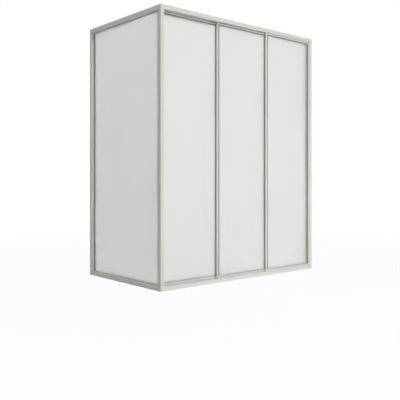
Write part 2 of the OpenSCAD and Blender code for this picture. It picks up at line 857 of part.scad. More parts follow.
module leaf_2_left_stile() { color(frame_white) at_leaf(2) stile(); }
module leaf_2_right_stile() { color(frame_white) at_leaf(2) from_right() stile(); }
module leaf_2_top_rail() { color(frame_white) at_leaf(2) hung_top_rail(); }
module leaf_2_bottom_rail() { color(frame_white) at_leaf(2) bottom_rail(); }
module leaf_2_pane() { color(pane_white) at_leaf(2) pane(); }
module leaf_2_gasket() { color(gasket_grey) at_leaf(2) gasket(); }
module leaf_2_frame_screws() { color(steel_grey) at_leaf(2) leaf_screws(); }
module leaf_2_carriages() { color(steel_grey) at_leaf(2) carriages(); }
module leaf_2_carriage_screws() { color(steel_grey) at_leaf(2) carriage_screws(); }
module leaf_2_axles() { color(steel_grey) at_leaf(2) axles(); }
module leaf_2_wheel_left() { color(nylon_white) at_leaf(2) wheel_at(carriage_inset); }
module leaf_2_wheel_right() { color(nylon_white) at_leaf(2) wheel_at(leaf_w - carriage_inset); }
module leaf_2_guide_shoes() { color(nylon_white) at_leaf(2) guide_shoes(); }
module leaf_2_wiper() { color(gasket_grey) at_leaf(2) wiper(); }

// Leaf 3, outermost, fixed to the front jamb

module leaf_3_left_stile() { color(frame_white) at_leaf(3) stile(); }
module leaf_3_right_stile() { color(frame_white) at_leaf(3) from_right() fixed_stile(); }
module leaf_3_top_rail() { color(frame_white) at_leaf(3) top_rail(); }
module leaf_3_bottom_rail() { color(frame_white) at_leaf(3) bottom_rail(); }
module leaf_3_pane() { color(pane_white) at_leaf(3) pane(); }
module leaf_3_gasket() { color(gasket_grey) at_leaf(3) gasket(); }
module leaf_3_frame_screws() { color(steel_grey) at_leaf(3) leaf_screws(); }
module leaf_3_packers() { color(nylon_white) at_leaf(3) packers(); }
module leaf_3_fixing_screws() { color(steel_grey) at_leaf(3) fixing_screws(); }
module leaf_3_wiper() { color(gasket_grey) at_leaf(3) wiper(); }

head_rail();
sill_rail();
corner_post();
post_cover();
post_caps();
front_jamb();
front_wall_channel();
end_head_rail();
end_sill_rail();
end_jamb();
end_wall_channel();
end_pane();
end_gasket();
head_end_blocks();
sill_end_blocks();
end_rail_blocks();
frame_screws();
jamb_screws();
travel_buffers();
leaf_1_left_stile();
leaf_1_right_stile();
leaf_1_top_rail();
leaf_1_bottom_rail();
leaf_1_pane();
leaf_1_gasket();
leaf_1_frame_screws();
leaf_1_carriages();
leaf_1_carriage_screws();
leaf_1_axles();
leaf_1_wheel_left();
leaf_1_wheel_right();
leaf_1_guide_shoes();
leaf_1_closing_seal();
leaf_2_left_stile();
leaf_2_right_stile();
leaf_2_top_rail();
leaf_2_bottom_rail();
leaf_2_pane();
leaf_2_gasket();
leaf_2_frame_screws();
leaf_2_carriages();
leaf_2_carriage_screws();
leaf_2_axles();
leaf_2_wheel_left();
leaf_2_wheel_right();
leaf_2_guide_shoes();
leaf_2_wiper();
leaf_3_left_stile();
leaf_3_right_stile();
leaf_3_top_rail();
leaf_3_bottom_rail();
leaf_3_pane();
leaf_3_gasket();
leaf_3_frame_screws();
leaf_3_packers();
leaf_3_fixing_screws();
leaf_3_wiper();
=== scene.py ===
# %% [markdown]
# # A framed bath screen
#
# A frosted end panel closes the short side, and three framed leaves close the front, in
# three tracks one behind another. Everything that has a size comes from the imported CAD
# model, which is loaded first and stays as it is. This lesson gives it its finishes, its
# light and the few small things that are easier to model here than in the CAD: the
# wedge-shaped glazing gaskets, the cross-head screws, the soft buffers and the seals of
# the leaves.

import json
import math

import bpy
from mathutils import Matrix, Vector


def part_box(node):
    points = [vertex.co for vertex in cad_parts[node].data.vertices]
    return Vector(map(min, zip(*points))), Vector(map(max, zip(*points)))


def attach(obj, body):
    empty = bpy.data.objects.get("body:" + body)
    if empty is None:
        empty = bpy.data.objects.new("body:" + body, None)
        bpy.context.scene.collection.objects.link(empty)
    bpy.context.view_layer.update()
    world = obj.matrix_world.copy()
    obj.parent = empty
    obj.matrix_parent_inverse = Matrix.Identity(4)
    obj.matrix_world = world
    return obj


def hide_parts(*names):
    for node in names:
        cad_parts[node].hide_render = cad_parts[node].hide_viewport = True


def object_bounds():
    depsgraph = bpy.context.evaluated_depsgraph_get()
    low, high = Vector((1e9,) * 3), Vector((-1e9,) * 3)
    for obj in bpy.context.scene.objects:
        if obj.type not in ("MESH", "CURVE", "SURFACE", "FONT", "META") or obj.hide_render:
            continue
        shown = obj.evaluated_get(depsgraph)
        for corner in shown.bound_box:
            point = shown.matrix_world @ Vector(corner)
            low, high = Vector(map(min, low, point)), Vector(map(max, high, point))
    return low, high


MM = 0.001
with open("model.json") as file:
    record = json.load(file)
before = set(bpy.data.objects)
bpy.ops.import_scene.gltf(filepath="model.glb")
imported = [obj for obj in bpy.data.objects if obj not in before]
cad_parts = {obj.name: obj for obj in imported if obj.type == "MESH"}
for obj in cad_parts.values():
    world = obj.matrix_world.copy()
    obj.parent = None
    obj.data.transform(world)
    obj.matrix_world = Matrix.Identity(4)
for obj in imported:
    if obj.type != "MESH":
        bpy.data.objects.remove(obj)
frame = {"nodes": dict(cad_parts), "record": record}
nodes = frame["nodes"]
cad_low, cad_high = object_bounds()
print(len(nodes), "nodes in a box of", [round(side, 3) for side in cad_high - cad_low], "m")

# %% [markdown]
# ## The camera
#
# The photograph was taken with the camera held level, a little over half a metre above the
# screen's base, so upright edges stay upright. Its picture is cropped so that the horizon
# lies above the middle, which the camera's vertical shift repeats. The place, the turn and
# the lens were worked out from the vanishing points of the level edges and from the
# screen's real height.

# %% Set up the camera
CAMERA_PLACE = Vector((-2.3395, -2.688, 0.568))
CAMERA_TURN = math.radians(-40.6)
SENSOR_MM = 36
LENS_MM = 53.25
HORIZON_SHIFT = -0.0575

bpy.ops.object.select_all(action="DESELECT")
bpy.ops.object.camera_add(location=CAMERA_PLACE, rotation=(math.pi / 2, 0, CAMERA_TURN))
camera = bpy.context.object
camera.data.sensor_width = SENSOR_MM
camera.data.lens = LENS_MM
camera.data.shift_y = HORIZON_SHIFT
bpy.context.scene.camera = camera
print("camera", [round(c, 3) for c in camera.location], "lens", camera.data.lens, "mm")

# %% [markdown]
# ## Two helpers for materials
#
# Colours are picked as sRGB hex values, as in a paint program, but the shader reckons with
# linear light, so one function turns one into the other. A second small function adds a
# node, sets its values and plugs in its links, which keeps each material down to a few
# lines that can be read from top to bottom.

# %% Colour and node helpers
def linear(hex_colour):
    """A colour such as #E8E8E5 as linear red, green, blue and alpha."""
    parts = [int(hex_colour[i:i + 2], 16) / 255 for i in (1, 3, 5)]
    bright = [p / 12.92 if p <= 0.04045 else ((p + 0.055) / 1.055) ** 2.4 for p in parts]
    return (*bright, 1.0)


def add_node(tree, kind, values=None, links=None, **settings):
    """Adds a node with its settings, its input values and the links into it."""
    node = tree.nodes.new(kind)
    for name, value in settings.items():
        setattr(node, name, value)
    for name, value in (values or {}).items():
        node.inputs[name].default_value = value
    for name, source in (links or {}).items():
        tree.links.new(source, node.inputs[name])
    return node


def new_material(name):
    """An empty material: its node tree, and the place where its patterns are read."""
    material = bpy.data.materials.new(name)
    material.use_nodes = True
    tree = material.node_tree
    tree.nodes.clear()
    place = add_node(tree, "ShaderNodeTexCoord").outputs["Object"]
    return material, tree, place


print("#808080 is", round(linear("#808080")[0], 3), "in linear light")

# %% [markdown]
# ## Powder-coated aluminium
#
# Every profile is extruded aluminium with a satin white powder coat. The powder melts into
# a film with a very shallow orange peel, about a millimetre from crest to crest, which
# breaks up reflections without ever looking rough. Tone and gloss drift a little along a
# long profile, because the film's thickness does. One slow noise texture gives both of
# these, and a fine one gives the peel.

# %% Powder coat material
# BUMP_MM is the depth that the bump of every finish is reckoned from.
PEEL_MM = 1.2
DRIFT_MM = 180
BUMP_MM = 0.1


def powder_coat(name, light_tone, dark_tone):
    """A satin coat with a fine peel and a slow drift of tone and gloss."""
    material, tree, place = new_material(name)
    drift = add_node(tree, "ShaderNodeTexNoise", {"Scale": 1 / (DRIFT_MM * MM), "Detail": 2},
                     {"Vector": place})
    tone = add_node(tree, "ShaderNodeMix", {"A": linear(dark_tone), "B": linear(light_tone)},
                    {"Factor": drift.outputs["Fac"]}, data_type="RGBA")
    gloss = add_node(tree, "ShaderNodeMapRange", {"To Min": 0.34, "To Max": 0.46},
                     {"Value": drift.outputs["Fac"]})
    peel = add_node(tree, "ShaderNodeTexNoise", {"Scale": 1 / (PEEL_MM * MM), "Detail": 1},
                    {"Vector": place})
    bump = add_node(tree, "ShaderNodeBump", {"Strength": 0.12, "Distance": BUMP_MM * MM},
                    {"Height": peel.outputs["Fac"]})
    shader = add_node(tree, "ShaderNodeBsdfPrincipled", {"IOR": 1.5, "Specular IOR Level": 0.35},
                      {"Base Color": tone.outputs["Result"], "Roughness": gloss.outputs["Result"],
                       "Normal": bump.outputs["Normal"]})
    add_node(tree, "ShaderNodeOutputMaterial", links={"Surface": shader.outputs["BSDF"]})
    return material


white_coat = powder_coat("white_powder_coat", "#EDEDE8", "#E6E6E1")
print("made", white_coat.name)

# %% [markdown]
# ## Frosted glass
#
# The panes are sheets that were etched until they turned milky. Light still comes through,
# but nothing behind can be made out, and the surface has no mirror shine left. Two things
# make that look: a rough transmission, which scatters what comes from behind, and a small
# part of plain white, which is the light that the etched face throws back. That the glass
# lets light through is what makes the end pane brighter than its frame. The etching has a
# grain of a few tenths of a millimetre. It is drawn coarser here, at a millimetre and a
# half, because a finer one would be lost between the picture's dots.

# %% Frosted glass material
ETCH_MM = 1.5
CLOUD_MM = 260


def frosted_glass(name, light_tone, dark_tone):
    """Glass with an etched face: rough, milky and without a mirror shine."""
    material, tree, place = new_material(name)
    cloud = add_node(tree, "ShaderNodeTexNoise", {"Scale": 1 / (CLOUD_MM * MM), "Detail": 3},
                     {"Vector": place})
    tone = add_node(tree, "ShaderNodeMix", {"A": linear(dark_tone), "B": linear(light_tone)},
                    {"Factor": cloud.outputs["Fac"]}, data_type="RGBA")
    etch = add_node(tree, "ShaderNodeTexNoise", {"Scale": 1 / (ETCH_MM * MM), "Detail": 2},
                    {"Vector": place})
    bump = add_node(tree, "ShaderNodeBump", {"Strength": 0.1, "Distance": BUMP_MM * MM},
                    {"Height": etch.outputs["Fac"]})
    shader = add_node(tree, "ShaderNodeBsdfPrincipled",
                      {"IOR": 1.45, "Roughness": 1.0, "Transmission Weight": 0.8,
                       "Specular IOR Level": 0.3},
                      {"Base Color": tone.outputs["Result"], "Normal": bump.outputs["Normal"]})
    add_node(tree, "ShaderNodeOutputMaterial", links={"Surface": shader.outputs["BSDF"]})
    return material


milky_glass = frosted_glass("etched_milky_glass", "#F4F4F3", "#EFEFEE")
print("made", milky_glass.name)

# %% [markdown]
# ## Soft vinyl, nylon and plated steel
#
# Gaskets, seals and buffers are soft vinyl, extruded or moulded: matt, grey and faintly
# mottled, with a surface that is never quite even. The gaskets' grey is partly the vinyl's
# own and partly painted shade, for the shaded recesses beside the frame's beads. Wheels,
# shoes and blocks are moulded nylon, which is a warm white and lets a little light in under
# its skin. Screws, plates and axles are steel with a bright zinc plate, a metal with a
# slightly cloudy shine.

# %% Soft vinyl material
MOTTLE_MM = 6


def soft_vinyl(name, light_tone, dark_tone, rough):
    """A matt, faintly mottled soft plastic."""
    material, tree, place = new_material(name)
    mottle = add_node(tree, "ShaderNodeTexNoise", {"Scale": 1 / (MOTTLE_MM * MM), "Detail": 3},
                      {"Vector": place})
    tone = add_node(tree, "ShaderNodeMix", {"A": linear(dark_tone), "B": linear(light_tone)},
                    {"Factor": mottle.outputs["Fac"]}, data_type="RGBA")
    bump = add_node(tree, "ShaderNodeBump", {"Strength": 0.2, "Distance": BUMP_MM * MM},
                    {"Height": mottle.outputs["Fac"]})
    shader = add_node(tree, "ShaderNodeBsdfPrincipled", {"IOR": 1.53, "Roughness": rough},
                      {"Base Color": tone.outputs["Result"], "Normal": bump.outputs["Normal"]})
    add_node(tree, "ShaderNodeOutputMaterial", links={"Surface": shader.outputs["BSDF"]})
    return material


# The gaskets' grey is partly the vinyl's own and partly painted shade for the shaded recesses
# beside the frame's beads.
grey_gasket = soft_vinyl("gasket_vinyl_and_painted_shade", "#848582", "#7A7B78", 0.62)
grey_seal = soft_vinyl("grey_seal_vinyl", "#DADBD8", "#CFD0CD", 0.55)
print("made", grey_gasket.name, grey_seal.name)

# %% Nylon material
FLOW_MM = 9


def moulded_nylon(name, light_tone, dark_tone):
    """A hard plastic that lets a little light in, with soft flow clouds from the mould."""
    material, tree, place = new_material(name)
    flow = add_node(tree, "ShaderNodeTexNoise", {"Scale": 1 / (FLOW_MM * MM), "Detail": 2},
                    {"Vector": place})
    tone = add_node(tree, "ShaderNodeMix", {"A": linear(dark_tone), "B": linear(light_tone)},
                    {"Factor": flow.outputs["Fac"]}, data_type="RGBA")
    gloss = add_node(tree, "ShaderNodeMapRange", {"To Min": 0.35, "To Max": 0.5},
                     {"Value": flow.outputs["Fac"]})
    shader = add_node(tree, "ShaderNodeBsdfPrincipled",
                      {"IOR": 1.53, "Subsurface Weight": 0.15, "Subsurface Scale": 1.5 * MM},
                      {"Base Color": tone.outputs["Result"], "Roughness": gloss.outputs["Result"]})
    add_node(tree, "ShaderNodeOutputMaterial", links={"Surface": shader.outputs["BSDF"]})
    return material


white_nylon = moulded_nylon("moulded_nylon", "#F2F0E8", "#E9E6DC")
print("made", white_nylon.name)

# %% Zinc-plated steel material
SHEEN_MM = 3


def zinc_plate(name, light_tone, dark_tone):
    """A plated metal whose shine is clouded in small patches."""
    material, tree, place = new_material(name)
    cloud = add_node(tree, "ShaderNodeTexNoise", {"Scale": 1 / (SHEEN_MM * MM), "Detail": 4},
                     {"Vector": place})
    tone = add_node(tree, "ShaderNodeMix", {"A": linear(dark_tone), "B": linear(light_tone)},
                    {"Factor": cloud.outputs["Fac"]}, data_type="RGBA")
    gloss = add_node(tree, "ShaderNodeMapRange", {"To Min": 0.25, "To Max": 0.45},
                     {"Value": cloud.outputs["Fac"]})
    shader = add_node(tree, "ShaderNodeBsdfPrincipled", {"Metallic": 1.0},
                      {"Base Color": tone.outputs["Result"], "Roughness": gloss.outputs["Result"]})
    add_node(tree, "ShaderNodeOutputMaterial", links={"Surface": shader.outputs["BSDF"]})
    return material


plated_steel = zinc_plate("bright_zinc_plate", "#C9CCCF", "#B4B8BC")
print("made", plated_steel.name)

# %% [markdown]
# ## Finishes on the CAD pieces
#
# The record names a material slot for every piece, so the finishes are handed out by slot.
# Only the materials change: the points and faces of the CAD pieces stay as they are.

# %% Hand out the finishes
FINISH = {
    "white_frame": white_coat,
    "frosted_glass": milky_glass,
    "grey_gasket": grey_gasket,
    "grey_seal": grey_seal,
    "white_nylon": white_nylon,
    "zinc_steel": plated_steel,
}
slot_of = {part["node"]: part["material_slot"] for part in frame["record"]["subparts"]}
bodies = frame["record"]["behaviour"]["bodies"]
body_of = {node: body for body, group in bodies.items() for node in group}


def coat(piece, material):
    """Gives a piece this one material."""
    piece.data.materials.clear()
    piece.data.materials.append(material)


for node, piece in nodes.items():
    coat(piece, FINISH[slot_of[node]])
print("finishes handed out to", len(nodes), "pieces")

# %% [markdown]
# ## Working by hand, in code
#
# Operators act on everything that is selected, and loading the model leaves its pieces
# selected. So one small helper selects a piece alone before each job, and another picks
# out the points, edges or faces that the next operator is for. The last one puts the
# finished piece into its place in the model: it gets its finish, rides on the body that
# carries the CAD piece, and takes that piece's place in the picture.

# %% Helpers for selecting
def select_only(piece):
    """Selects this piece alone and makes it the active one."""
    bpy.ops.object.select_all(action="DESELECT")
    piece.select_set(True)
    bpy.context.view_layer.objects.active = piece


def edit(piece):
    """Opens a piece in edit mode with all of its mesh selected."""
    select_only(piece)
    bpy.ops.object.mode_set(mode="EDIT")
    bpy.ops.mesh.select_all(action="SELECT")


def pick_out(piece, kind, wanted):
    """In edit mode, selects only the wanted ones of a piece's vertices, edges or polygons."""
    bpy.ops.mesh.select_all(action="DESELECT")
    bpy.ops.object.mode_set(mode="OBJECT")
    for element in getattr(piece.data, kind):
        element.select = wanted(element)
    bpy.ops.object.mode_set(mode="EDIT")


# %% Helpers for finishing a piece
DOUBLES_MM = 0.005


def close_up(piece, sharp_degrees):
    """Merges doubles, turns the faces outwards, and leaves edit mode with smooth shading."""
    edit(piece)
    bpy.ops.mesh.remove_doubles(threshold=DOUBLES_MM * MM)
    bpy.ops.mesh.normals_make_consistent(inside=False)
    bpy.ops.object.mode_set(mode="OBJECT")
    bpy.ops.object.shade_smooth_by_angle(angle=math.radians(sharp_degrees))


def stand_in_for(piece, node):
    """Puts a finished piece in the place of a CAD node, with its body and its finish."""
    piece.name = node + "_detailed"
    coat(piece, FINISH[slot_of[node]])
    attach(piece, body_of[node])
    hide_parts(node)
    print(piece.name, "with", len(piece.data.polygons), "faces")


# %% [markdown]
# ## Glazing gaskets
#
# A soft vinyl gasket is wrapped round each pane before the frame closes on it. In section it
# is a U. Its front side has a thin flap that lies over the frame's glazing lip, up to the
# raised bead, and a wedge with a shallow groove that thins out towards the glass. Its rear
# side is flatter. Along the foot of a pane the flap is trimmed off, and at the corners the
# strip is mitred. A rectangle that is extruded again and again, each time resized and
# pushed a little, draws exactly this: every copy of the rectangle is one point of the
# section, and the mitres come by themselves. The CAD gasket gives the width behind the
# glass. In front, the wedge is wide along the stiles and only a thin line along the rails,
# so that its grey, which is partly painted shade, lies mostly in the shaded recess beside
# each stile's bead.

# %% Section of a gasket
# Each point: the line that it is measured from, the share of the way from there to the
# gasket's inner edge, and millimetres back from the front face or forward from the rear
# face. The lines are the gasket's outer edge, the glass's edge, the frame's glazing lip,
# and the flap's edge, which is next to the bead except along the foot. The end pane's
# gasket has no lip to lie on, so its flap is only a roll against the rail.
OUTER, GLASS, LIP, FLAP = 0, 1, 2, 3
WEDGE_FRONT = [(OUTER, 0, 0.05), (LIP, 0, 0.05), (LIP, 0, -1.22), (FLAP, 0, -1.22),
               (FLAP, 0, -1.5), (FLAP, 0.03, -1.68), (LIP, 0.25, -1.3), (LIP, 0.4, -0.95),
               (LIP, 0.46, -0.6), (LIP, 0.52, -0.55), (LIP, 0.58, -0.75), (LIP, 0.9, 0.2),
               (LIP, 0.98, 0.6), (LIP, 1, 1.0), (LIP, 0.97, 1.45), (GLASS, 0, 1.45)]
WEDGE_REAR = [(GLASS, 0, 2.25), (GLASS, 0.93, 2.25), (GLASS, 0.97, 1.7), (GLASS, 0.9, 1.1),
              (GLASS, 0.4, 0.15), (OUTER, 0, 0.1)]
print("a gasket's section has", len(WEDGE_FRONT + WEDGE_REAR), "points")

# %% Lay out a gasket's loops
# In front, the wedge shows this far past the lip along the head and the foot, and covers
# this share of the CAD gasket's width along the sides, so these set where the gaskets'
# grey, partly painted shade, shows. The glass's edge lies a little in from the gasket's
# outer edge, and the strip clears the lip and the bead by a hair.
HEAD_SHOWS_MM, FOOT_SHOWS_MM, SIDE_SHARE = 0.3, 0.2, 0.85
GLASS_EDGE_MM = 0.95
LIP_PLAY_MM = 0.15


def laps_of(node, axis):
    """How far a CAD gasket reaches in from its outer edge, along one axis."""
    steps = sorted({round(v.co[axis], 5) for v in nodes[node].data.vertices})
    return steps[2] - steps[0]


def gasket_loops(node, across, depth, lip_mm, flap_mm):
    """Width, height, middle height and depth of the rectangle at each point of the section."""
    low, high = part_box(node)
    middle = (low + high) / 2
    side_lap, rail_lap = laps_of(node, across), laps_of(node, 2)
    lip, flap = (lip_mm + LIP_PLAY_MM) * MM, (flap_mm + LIP_PLAY_MM) * MM
    front_laps = (lip + SIDE_SHARE * (side_lap - lip), lip + HEAD_SHOWS_MM * MM,
                  lip + FOOT_SHOWS_MM * MM)
    rear_laps = (side_lap, rail_lap, rail_lap)
    loops = []
    for section, face, sign, laps in ((WEDGE_FRONT, low[depth], 1, front_laps),
                                      (WEDGE_REAR, high[depth], -1, rear_laps)):
        for line, share, from_face_mm in section:
            start = (0, GLASS_EDGE_MM * MM, lip, flap)[line]
            starts = (start, start, lip if line == FLAP else start)
            side, head, foot = (s + share * (lap - s) for s, lap in zip(starts, laps))
            loops.append((2 * (middle[across] - low[across] - side), high.z - low.z - head - foot,
                          middle.z + (foot - head) / 2, face + sign * from_face_mm * MM))
    return loops


print("leaf_1_gasket reaches in", round(laps_of("leaf_1_gasket", 0) / MM, 2), "mm at the sides,",
      round(laps_of("leaf_1_gasket", 2) / MM, 2), "mm at the head and the foot")

# %% Trace a gasket
def trace_gasket(node, across, depth, lip_mm, flap_mm):
    """Draws a gasket round a pane: across is 0 or 1 for X or Y, depth is the other one."""
    low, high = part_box(node)
    middle = (low + high) / 2
    loops = gasket_loops(node, across, depth, lip_mm, flap_mm)
    bpy.ops.object.select_all(action="DESELECT")
    upright = (math.pi / 2, 0, 0) if depth == 1 else (0, math.pi / 2, 0)
    bpy.ops.mesh.primitive_plane_add(size=1, rotation=upright)
    gasket = bpy.context.object
    bpy.ops.object.transform_apply(rotation=True)
    edit(gasket)
    bpy.ops.mesh.delete(type="ONLY_FACE")
    bpy.ops.mesh.select_all(action="SELECT")
    width, height, at = 1, 1, Vector((0, 0, 0))
    for number, (next_width, next_height, next_z, next_face) in enumerate(loops + loops[:1]):
        if number:
            bpy.ops.mesh.extrude_edges_move()
        grow = Vector((1, 1, next_height / height))
        grow[across] = next_width / width
        next_at = Vector((middle.x, middle.y, next_z))
        next_at[depth] = next_face
        bpy.ops.transform.resize(value=grow, center_override=at)
        bpy.ops.transform.translate(value=next_at - at)
        width, height, at = next_width, next_height, next_at
    bpy.ops.object.mode_set(mode="OBJECT")
    close_up(gasket, sharp_degrees=25)
    return gasket


# %% Model the gaskets
# A leaf's glazing lip is this wide, and the end pane's pocket is this deep.
LEAF_LIP_MM = 2
END_POCKET_MM = 6.5
for node in ("leaf_1_gasket", "leaf_2_gasket", "leaf_3_gasket"):
    stand_in_for(trace_gasket(node, across=0, depth=1, lip_mm=LEAF_LIP_MM, flap_mm=0), node)
stand_in_for(trace_gasket("end_gasket", across=1, depth=0, lip_mm=END_POCKET_MM,
                          flap_mm=END_POCKET_MM), "end_gasket")

# %% [markdown]
# ## Cross-head screws
#
# The frame is held by self-tapping screws with a pan head and a cross recess. On the real
# one, the thread is rolled into the wire and stands proud of the core. Here the core is a
# cylinder with its end drawn to a point, the thread is a small triangle that the Screw
# modifier winds round it, and the cross is cut with a tapered plus sign. Each size is
# modelled once and copied to all its places. The sizes and the places are measured on the
# CAD screws, on a merged copy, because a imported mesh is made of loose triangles.

# %% Take a node apart
def solids_of(node):
    """The points of each separate solid of a CAD node, measured on a merged copy."""
    select_only(nodes[node])
    bpy.ops.object.duplicate()
    bpy.ops.object.mode_set(mode="EDIT")
    bpy.ops.mesh.select_all(action="SELECT")
    bpy.ops.mesh.remove_doubles(threshold=DOUBLES_MM * MM)
    bpy.ops.mesh.separate(type="LOOSE")
    bpy.ops.object.mode_set(mode="OBJECT")
    solids = [[v.co.copy() for v in part.data.vertices] for part in bpy.context.selected_objects]
    bpy.ops.object.delete()
    return solids


def box_of(points):
    """The lowest and the highest corner of the box round these points."""
    return (Vector([min(p[axis] for p in points) for axis in range(3)]),
            Vector([max(p[axis] for p in points) for axis in range(3)]))


cad_screws = solids_of("frame_screws")
print("frame_screws holds", len(cad_screws), "screws")

# %% Measure a screw
# The points farthest out are the head's rim, and those this far past the seat are the
# shank's.
RIM_SHARE = 0.97
BELOW_HEAD_MM = 0.3


def measure_screw(points):
    """A CAD screw's seat, its direction, and its radii and lengths in millimetres."""
    low, high = box_of(points)
    middle, size = (low + high) / 2, high - low
    axis = max(range(3), key=lambda a: size[a])
    away = [(p - middle) * Vector([a != axis for a in range(3)]) for p in points]
    head_r = max(a.length for a in away)
    rim = [p[axis] for p, a in zip(points, away) if a.length > RIM_SHARE * head_r]
    sign = 1 if sum(rim) / len(rim) < middle[axis] else -1
    seat = middle.copy()
    seat[axis] = max(rim) if sign > 0 else min(rim)
    direction = Vector([sign * (a == axis) for a in range(3)])
    shank = [a.length for p, a in zip(points, away)
             if (p[axis] - seat[axis]) * sign > BELOW_HEAD_MM * MM]
    head_h = (seat[axis] - low[axis]) if sign > 0 else (high[axis] - seat[axis])
    lengths = [max(shank), head_r, head_h, size[axis] - head_h]
    return seat, direction, tuple(round(v / MM, 2) for v in lengths)


print("a frame screw's shank and head radius, head height and length:",
      measure_screw(cad_screws[0])[2], "mm")

# %% Wind a thread
# Steps in one turn, and how far the triangle's foot is sunk in the core.
THREAD_STEPS = 14
THREAD_SINKS_MM = 0.05


def wind_thread(core_r, shank_r, pitch, length):
    """A triangle wound round the core, closed at both ends."""
    bpy.ops.object.select_all(action="DESELECT")
    corner_r = 0.25 * pitch
    bpy.ops.mesh.primitive_circle_add(vertices=3, radius=corner_r,
                                      rotation=(math.pi / 2, math.pi / 2, 0))
    thread = bpy.context.object
    bpy.ops.object.transform_apply(rotation=True)
    edit(thread)
    foot, triangle_h = core_r - THREAD_SINKS_MM * MM, 1.5 * corner_r
    bpy.ops.transform.resize(value=((shank_r - foot) / triangle_h, 1, 1),
                             center_override=(0, 0, 0))
    bpy.ops.object.mode_set(mode="OBJECT")
    tip = max(v.co.x for v in thread.data.vertices)
    edit(thread)
    bpy.ops.transform.translate(value=(shank_r - tip, 0, pitch))
    bpy.ops.object.mode_set(mode="OBJECT")
    turn = thread.modifiers.new("winding", "SCREW")
    turn.angle, turn.steps, turn.render_steps = 2 * math.pi, THREAD_STEPS, THREAD_STEPS
    turn.screw_offset, turn.iterations = pitch, max(1, int(length / pitch))
    bpy.ops.object.modifier_apply(modifier=turn.name)
    edit(thread)
    bpy.ops.mesh.fill_holes(sides=3)
    bpy.ops.object.mode_set(mode="OBJECT")
    return thread


# %% Turn a core
# The point's length and the width of its end, as shares of the core's radius.
POINT_LENGTH, POINT_WIDTH = 1.5, 0.15


def turn_core(core_r, length):
    """The shank's core: a cylinder whose far end is drawn to a point."""
    bpy.ops.object.select_all(action="DESELECT")
    bpy.ops.mesh.primitive_cylinder_add(vertices=20, radius=core_r, depth=length,
                                        location=(0, 0, length / 2))
    core = bpy.context.object
    bpy.ops.object.transform_apply(location=True)
    edit(core)
    bpy.ops.mesh.bisect(plane_co=(0, 0, length - POINT_LENGTH * core_r), plane_no=(0, 0, 1))
    pick_out(core, "vertices", lambda vertex: vertex.co.z > length - 0.1 * MM)
    bpy.ops.transform.resize(value=(POINT_WIDTH, POINT_WIDTH, 1), center_override=(0, 0, length))
    bpy.ops.object.mode_set(mode="OBJECT")
    return core


# %% Cut the cross
# Half an arm's width and an arm's reach as shares of the head's radius, the depth as a
# share of its height, and how much wider the cross is at the top.
ARM_SHARE, REACH_SHARE, DEPTH_SHARE, FLARE = 0.13, 0.38, 0.62, 1.5


def cut_cross(head, head_r, head_h):
    """Cuts a tapered cross into the head."""
    arm, deep = ARM_SHARE * head_r, DEPTH_SHARE * head_h
    bpy.ops.object.select_all(action="DESELECT")
    bpy.ops.mesh.primitive_cube_add(size=2 * arm, location=(0, 0, -head_h + deep - arm))
    cutter = bpy.context.object
    bpy.ops.object.transform_apply(location=True)
    edit(cutter)
    pick_out(cutter, "polygons", lambda face: abs(face.normal.z) < 0.5)
    bpy.ops.mesh.select_mode(type="FACE")
    bpy.ops.mesh.extrude_faces_move(TRANSFORM_OT_shrink_fatten={"value": REACH_SHARE * head_r})
    bpy.ops.object.mode_set(mode="OBJECT")
    top = min(v.co.z for v in cutter.data.vertices)
    for vertex in cutter.data.vertices:
        vertex.select = vertex.co.z < top + 0.01 * MM
    bpy.ops.object.mode_set(mode="EDIT")
    bpy.ops.mesh.select_mode(type="VERT")
    bpy.ops.transform.translate(value=(0, 0, -head_h))
    bpy.ops.transform.resize(value=(FLARE, FLARE, 1), center_override=(0, 0, 0))
    bpy.ops.object.mode_set(mode="OBJECT")
    cut = head.modifiers.new("cross", "BOOLEAN")
    cut.operation, cut.solver, cut.object = "DIFFERENCE", "EXACT", cutter
    select_only(head)
    bpy.ops.object.modifier_apply(modifier=cut.name)
    select_only(cutter)
    bpy.ops.object.delete()


# %% Model a screw
# As shares of the shank's radius: the core's radius, the thread's pitch, and how much of
# the shank's length stays without a thread. The head is rounded over half of its height.
CORE_SHARE, PITCH_SHARE, BARE_SHARE = 0.76, 0.75, 2.2
DOME_SHARE = 0.5


def model_screw(shank_r, head_r, head_h, length):
    """A cross-head screw along Z, with the underside of its head at the origin. In mm."""
    shank_r, head_r, head_h, length = (v * MM for v in (shank_r, head_r, head_h, length))
    bpy.ops.object.select_all(action="DESELECT")
    bpy.ops.mesh.primitive_cylinder_add(vertices=32, radius=head_r, depth=head_h,
                                        location=(0, 0, -head_h / 2))
    head = bpy.context.object
    bpy.ops.object.transform_apply(location=True)
    edit(head)
    pick_out(head, "edges", lambda edge: all(head.data.vertices[v].co.z < -0.9 * head_h
                                             for v in edge.vertices))
    bpy.ops.mesh.select_mode(type="EDGE")
    bpy.ops.mesh.bevel(offset=DOME_SHARE * head_h, segments=4, affect="EDGES")
    bpy.ops.mesh.select_mode(type="VERT")
    bpy.ops.object.mode_set(mode="OBJECT")
    cut_cross(head, head_r, head_h)
    core = turn_core(CORE_SHARE * shank_r, length)
    thread = wind_thread(CORE_SHARE * shank_r, shank_r, PITCH_SHARE * shank_r,
                         length - BARE_SHARE * shank_r)
    select_only(head)
    core.select_set(True)
    thread.select_set(True)
    bpy.ops.object.join()
    close_up(head, sharp_degrees=30)
    return head


